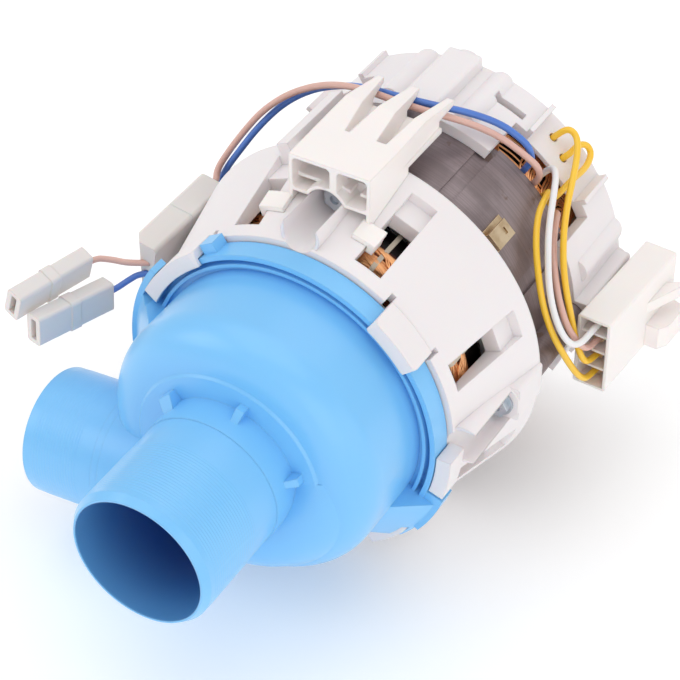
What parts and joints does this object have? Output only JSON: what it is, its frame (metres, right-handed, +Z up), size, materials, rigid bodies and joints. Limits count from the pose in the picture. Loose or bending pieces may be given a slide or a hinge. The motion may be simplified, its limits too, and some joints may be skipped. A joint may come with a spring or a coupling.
{
  "type": "circulation pump motor",
  "caption": "Pump with blue casing, inlet and side outlet spigots, driven by an open-frame motor in white plastic housings, with leads, push-on receptacles and a connector block.",
  "frame": {"origin": "centre of the inlet spigot's mouth", "axes": "+Y along the shaft from the inlet to the motor's rear, +Z up, +X to the right as seen from the inlet"},
  "size_m": [0.1852, 0.213, 0.1442],
  "materials": {
    "blue_plastic": "satin moulded",
    "white_plastic": "satin moulded",
    "cream_plastic": "satin moulded",
    "lead_plastic": "translucent nylon",
    "dark_plastic": "moulded",
    "lamination": "stacked sheet edges",
    "steel": "ground",
    "zinc": "bright zinc",
    "copper": "enamelled wire",
    "cast_aluminium": "die cast",
    "brass": "stamped",
    "rubber": "moulded",
    "ceramic": "lapped",
    "carbon": "lapped",
    "insulation_blue": "extruded",
    "insulation_pink": "extruded",
    "insulation_yellow": "extruded",
    "insulation_white": "extruded",
    "lacing": "waxed cord"
  },
  "bodies": {
    "pump_body": {"volute": "blue_plastic", "wear_ring": "white_plastic", "seal_plate": "dark_plastic", "cover_seal": "rubber", "seal_boot": "rubber", "seal_seat": "ceramic", "front_bearing_outer_ring": "steel", "rear_bearing_outer_ring": "steel", "wave_washer": "steel", "stator_core": "lamination", "front_insulator": "white_plastic", "rear_insulator": "white_plastic", "main_winding": "copper", "start_winding": "copper", "winding_ties": "lacing", "thermal_cutout": "dark_plastic", "front_housing": "white_plastic", "rear_housing": "white_plastic", "housing_screws": "zinc", "earth_tab": "brass", "lead_bracket": "cream_plastic", "inline_plug": "lead_plastic", "inline_socket": "lead_plastic", "inline_pins": "brass", "blue_lead": "insulation_blue", "pink_lead": "insulation_pink", "pink_tail": "insulation_pink", "blue_tail": "insulation_blue", "pink_receptacle": "lead_plastic", "blue_receptacle": "lead_plastic", "pink_terminal": "brass", "blue_terminal": "brass", "connector_block": "cream_plastic", "connector_terminals": "brass", "white_lead": "insulation_white", "yellow_lead_front": "insulation_yellow", "yellow_lead_rear": "insulation_yellow", "short_pink_lead": "insulation_pink", "yellow_loop": "insulation_yellow"},
    "rotor": {"shaft": "steel", "rotor_core": "lamination", "rotor_cage": "cast_aluminium", "impeller": "white_plastic", "impeller_nut": "steel", "seal_face_ring": "carbon", "seal_bellows": "rubber", "seal_spring": "steel", "slinger": "rubber", "front_bearing_inner_ring": "steel", "rear_bearing_inner_ring": "steel"},
    "front_ball_set": {"front_bearing_balls": "steel"},
    "rear_ball_set": {"rear_bearing_balls": "steel"}
  },
  "joints": [
    {"name": "rotor_spin", "type": "hinge", "parent": "pump_body", "child": "rotor", "pos_m": [0, 0.154, 0], "axis": [0, 1, 0], "continuous": true},
    {"name": "front_balls_spin", "type": "hinge", "parent": "pump_body", "child": "front_ball_set", "pos_m": [0, 0.1063, 0], "axis": [0, 1, 0], "continuous": true},
    {"name": "rear_balls_spin", "type": "hinge", "parent": "pump_body", "child": "rear_ball_set", "pos_m": [0, 0.2057, 0], "axis": [0, 1, 0], "continuous": true}
  ],
  "couplings": [
    {"joint": "front_balls_spin", "follows": "rotor_spin", "ratio": 0.38},
    {"joint": "rear_balls_spin", "follows": "rotor_spin", "ratio": 0.374}
  ]
}
